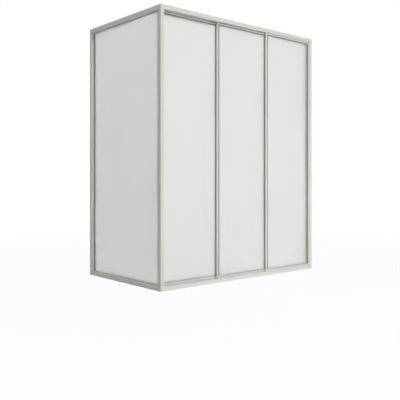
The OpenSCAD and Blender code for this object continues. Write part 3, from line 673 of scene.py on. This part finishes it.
# %% Put the screws in their places
SCREW_NODES = ["frame_screws", "jamb_screws", "leaf_1_frame_screws", "leaf_2_frame_screws",
               "leaf_3_frame_screws", "leaf_1_carriage_screws", "leaf_2_carriage_screws",
               "leaf_3_fixing_screws"]
patterns = {}
for node in SCREW_NODES:
    copies = []
    for points in solids_of(node):
        seat, direction, lengths = measure_screw(points)
        if lengths not in patterns:
            patterns[lengths] = model_screw(*lengths)
        select_only(patterns[lengths])
        bpy.ops.object.duplicate()
        copy = bpy.context.object
        copy.rotation_euler = Vector((0, 0, 1)).rotation_difference(direction).to_euler()
        copy.location = seat
        bpy.ops.object.transform_apply(location=True, rotation=True)
        copies.append(copy)
    select_only(copies[0])
    for copy in copies[1:]:
        copy.select_set(True)
    bpy.ops.object.join()
    stand_in_for(copies[0], node)
for pattern in patterns.values():
    select_only(pattern)
    bpy.ops.object.delete()
print(len(patterns), "sizes of screw")

# %% [markdown]
# ## Soft buffers
#
# Two soft pads on the wall jamb stop the sliding leaves. Each is a moulded block with
# round edges and a shallow dish in its face, so that it gives a little when a leaf arrives.
# A cube stretched to the CAD pad's size, bevelled, and pushed in on its face is all of it.

# %% Model the buffers
# The rounding of the edges, the rim round the dish, the dish's depth, and how much smaller
# than its mouth its floor is. Only the pad's own face is as large as the area given here.
ROUND_MM, RIM_MM, DISH_MM = 0.6, 1.2, 0.5
DISH_FLOOR = (1, 0.8, 0.93)
PAD_FACE_MM2 = 20


def mould_buffer(low, high):
    """A soft pad that fills a CAD pad's box, its face towards -X."""
    bpy.ops.object.select_all(action="DESELECT")
    bpy.ops.mesh.primitive_cube_add(size=1)
    pad = bpy.context.object
    edit(pad)
    bpy.ops.transform.resize(value=high - low, center_override=(0, 0, 0))
    bpy.ops.transform.translate(value=(low + high) / 2)
    bpy.ops.mesh.bevel(offset=ROUND_MM * MM, segments=3, affect="EDGES")
    pick_out(pad, "polygons",
             lambda face: face.normal.x < -0.999 and face.area > PAD_FACE_MM2 * MM * MM)
    bpy.ops.mesh.inset(thickness=RIM_MM * MM)
    bpy.ops.mesh.extrude_region_move(TRANSFORM_OT_translate={"value": (DISH_MM * MM, 0, 0)})
    bpy.ops.transform.resize(value=DISH_FLOOR, center_override=(low + high) / 2)
    bpy.ops.object.mode_set(mode="OBJECT")
    return pad


pads = [mould_buffer(*box_of(points)) for points in solids_of("travel_buffers")]
select_only(pads[0])
pads[1].select_set(True)
bpy.ops.object.join()
close_up(pads[0], sharp_degrees=40)
stand_in_for(pads[0], "travel_buffers")

# %% [markdown]
# ## Seals of the leaves
#
# The gap between two leaves is closed by a wiper: a foot strip on the raised edge of the
# outer leaf, and a thin blade that leans over to the leaf behind. Leaf 1 closes on the
# post with a bulb seal, a soft tube of which half shows, hollow so that it gives way. Each
# is one extrusion, so one edge as long as the seal is drawn step by step through the
# section, and the Solidify modifier gives the sheet that comes out of it its wall.

# %% Cut a foot strip
STRIP_ROUND_MM = 0.2


def foot_strip(low, high):
    """A flat strip with softened edges that fills the box from low to high."""
    bpy.ops.object.select_all(action="DESELECT")
    bpy.ops.mesh.primitive_cube_add(size=1)
    strip = bpy.context.object
    edit(strip)
    bpy.ops.transform.resize(value=high - low, center_override=(0, 0, 0))
    bpy.ops.transform.translate(value=(low + high) / 2)
    bpy.ops.mesh.bevel(offset=STRIP_ROUND_MM * MM, segments=2, affect="EDGES")
    bpy.ops.object.mode_set(mode="OBJECT")
    return strip


# %% Pull a vinyl sheet
SOFT_SHARE = 0.2


def pull_sheet(start, steps, length, wall):
    """A sheet of this length in Z: one upright edge at start, pulled along the steps."""
    bpy.ops.object.select_all(action="DESELECT")
    bpy.ops.mesh.primitive_plane_add(size=1)
    sheet = bpy.context.object
    edit(sheet)
    bpy.ops.mesh.delete(type="ONLY_FACE")
    pick_out(sheet, "vertices", lambda vertex: vertex.co.x > 0)
    bpy.ops.mesh.delete(type="VERT")
    bpy.ops.mesh.select_all(action="SELECT")
    edge_at = Vector((-0.5, 0, 0))
    bpy.ops.transform.rotate(value=math.pi / 2, orient_axis="X", center_override=edge_at)
    bpy.ops.transform.resize(value=(1, 1, length), center_override=edge_at)
    bpy.ops.transform.translate(value=start - edge_at)
    for step in steps:
        bpy.ops.mesh.extrude_edges_move(TRANSFORM_OT_translate={"value": step})
    bpy.ops.object.mode_set(mode="OBJECT")
    skin = sheet.modifiers.new("wall", "SOLIDIFY")
    skin.thickness, skin.offset = wall, 0
    soft = sheet.modifiers.new("soft edge", "BEVEL")
    soft.width, soft.segments = SOFT_SHARE * wall, 2
    for modifier in (skin.name, soft.name):
        bpy.ops.object.modifier_apply(modifier=modifier)
    return sheet


def join_seal(node, strip, sheet):
    """Joins a strip and its sheet, and puts them in the place of a CAD seal."""
    select_only(strip)
    sheet.select_set(True)
    bpy.ops.object.join()
    close_up(strip, sharp_degrees=30)
    stand_in_for(strip, node)


# %% Model the wipers
# The foot strip's thickness and width, then the blade's thickness, where it leaves the
# strip, how far it stays short of the CAD seal's edge, and how much it bows.
STRIP_MM, STRIP_WIDTH_MM = 0.8, 6
BLADE_MM, BLADE_FROM_MM, BLADE_SHORT_MM = 0.6, 2.3, 0.4
BLADE_STEPS = (0, 0.15, 0.35, 0.6, 0.8, 1)
BLADE_BEND = 0.35
for node in ("leaf_2_wiper", "leaf_3_wiper"):
    low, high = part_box(node)
    middle_z, length = (low.z + high.z) / 2, high.z - low.z
    strip_high = Vector((low.x + STRIP_WIDTH_MM * MM, low.y + STRIP_MM * MM, high.z))
    start = Vector((low.x + BLADE_FROM_MM * MM, low.y + STRIP_MM * MM, middle_z))
    spare = Vector((BLADE_SHORT_MM * MM, 0.5 * BLADE_MM * MM, 0))
    reach = Vector((high.x, high.y, middle_z)) - start - spare
    points = [Vector((reach.x * t, reach.y * ((1 + BLADE_BEND) * t - BLADE_BEND * t * t), 0))
              for t in BLADE_STEPS]
    steps = [b - a for a, b in zip(points, points[1:])]
    join_seal(node, foot_strip(low, strip_high), pull_sheet(start, steps, length, BLADE_MM * MM))

# %% Model the bulb seal
BULB_WALL_MM, BULB_RADIUS_MM, BULB_STEPS = 0.5, 3.2, 14
low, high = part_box("leaf_1_closing_seal")
middle = (low + high) / 2
strip_low = Vector((high.x - STRIP_MM * MM, low.y, low.z))
radius_x = strip_low.x - low.x - 0.5 * BULB_WALL_MM * MM
radius_y = BULB_RADIUS_MM * MM - 0.5 * BULB_WALL_MM * MM
turns = [math.pi * step / BULB_STEPS for step in range(BULB_STEPS + 1)]
arc = [Vector((-radius_x * math.sin(turn), radius_y * math.cos(turn), 0)) for turn in turns]
start = Vector((strip_low.x, middle.y, middle.z)) + arc[0]
steps = [b - a for a, b in zip(arc, arc[1:])]
bulb = pull_sheet(start, steps, high.z - low.z, BULB_WALL_MM * MM)
join_seal("leaf_1_closing_seal", foot_strip(strip_low, high), bulb)

# %% [markdown]
# ## Light, sky and floor
#
# The photograph has a plain white ground and one main light, high up in front. So a broad
# lamp stands there, a small one near the ground keeps the sill from going dark, and a weak
# one stands high on the left, because the end panel's frame is the darker side. The sky
# adds a low even light. The ground is white only where the camera, a reflection or a ray
# through glass meets it, and it stays at a normal level for everything else, so that it
# doesn't wash out the screen.

# %% Lamps
# Each lamp: its place and its width in metres, and its watts.
LAMPS = {
    "key_lamp": (Vector((-0.6, -4.6, 3.4)), 3.2, 107),
    "low_lamp": (Vector((0.2, -1.8, 0.3)), 0.5, 6),
    "fill_lamp": (Vector((-3.4, -0.5, 2.6)), 1.5, 11),
}
AIM = Vector((0, 0, 0.7))
for name, (place, size, watts) in LAMPS.items():
    turn = (AIM - place).to_track_quat("-Z", "Y").to_euler()
    bpy.ops.object.light_add(type="AREA", location=place, rotation=turn)
    lamp = bpy.context.object
    lamp.name = name
    lamp.data.shape = "SQUARE"
    lamp.data.size = size
    lamp.data.energy = watts
    print(name, size, "m wide,", watts, "W")

# %% Sky
def seen_rays(tree):
    """One where the camera, a reflection or a ray through glass looks, nought for other rays."""
    rays = add_node(tree, "ShaderNodeLightPath").outputs
    looks = add_node(tree, "ShaderNodeMath", operation="MAXIMUM",
                     links={0: rays["Is Camera Ray"], 1: rays["Is Glossy Ray"]})
    return add_node(tree, "ShaderNodeMath", operation="MAXIMUM",
                    links={0: looks.outputs[0], 1: rays["Is Transmission Ray"]}).outputs[0]


WHITE = (1, 1, 1, 1)
SKY_LEVEL = 0.2
world = bpy.data.worlds.new("white_room")
bpy.context.scene.world = world
world.use_nodes = True
sky = world.node_tree
sky.nodes.clear()
level = add_node(sky, "ShaderNodeMapRange", {"To Min": SKY_LEVEL, "To Max": 1.0},
                 {"Value": seen_rays(sky)})
dome = add_node(sky, "ShaderNodeBackground", {"Color": WHITE},
                {"Strength": level.outputs["Result"]})
add_node(sky, "ShaderNodeOutputWorld", links={"Surface": dome.outputs["Background"]})
print("sky level", SKY_LEVEL)

# %% Floor
# Close to the screen the white is a touch weaker, so a faint shadow shows at its foot, and
# from FADE_TO_M on it is full. The floor lies just under the screen and doesn't touch it.
FLOOR_M = 30
FLOOR_DROP_MM = 0.2
GLOW_NEAR, GLOW_FAR = 0.95, 1.0
FADE_FROM_M, FADE_TO_M = 0.9, 3.0


def pale_floor(name):
    """Plain white to the looking rays, and matt to all the others."""
    material, tree, place = new_material(name)
    away = add_node(tree, "ShaderNodeVectorMath", links={0: place}, operation="LENGTH")
    fade = add_node(tree, "ShaderNodeMapRange", {"From Min": FADE_FROM_M, "From Max": FADE_TO_M,
                                                 "To Min": GLOW_NEAR, "To Max": GLOW_FAR},
                    {"Value": away.outputs["Value"]})
    share = add_node(tree, "ShaderNodeMath", operation="MULTIPLY",
                     links={0: seen_rays(tree), 1: fade.outputs["Result"]})
    matt = add_node(tree, "ShaderNodeBsdfDiffuse", {"Color": linear("#E4E4E2")})
    glow = add_node(tree, "ShaderNodeEmission", {"Color": WHITE, "Strength": 1.0})
    both = add_node(tree, "ShaderNodeMixShader",
                    links={0: share.outputs[0], 1: matt.outputs["BSDF"],
                           2: glow.outputs["Emission"]})
    add_node(tree, "ShaderNodeOutputMaterial", links={"Surface": both.outputs["Shader"]})
    return material


bpy.ops.object.select_all(action="DESELECT")
bpy.ops.mesh.primitive_plane_add(size=FLOOR_M, location=(0, 0, cad_low.z - FLOOR_DROP_MM * MM))
floor = bpy.context.object
floor.name = "floor"
coat(floor, pale_floor("pale_floor"))
bpy.context.scene.view_settings.view_transform = "Standard"
print("floor at", round(floor.location.z, 4), "m")
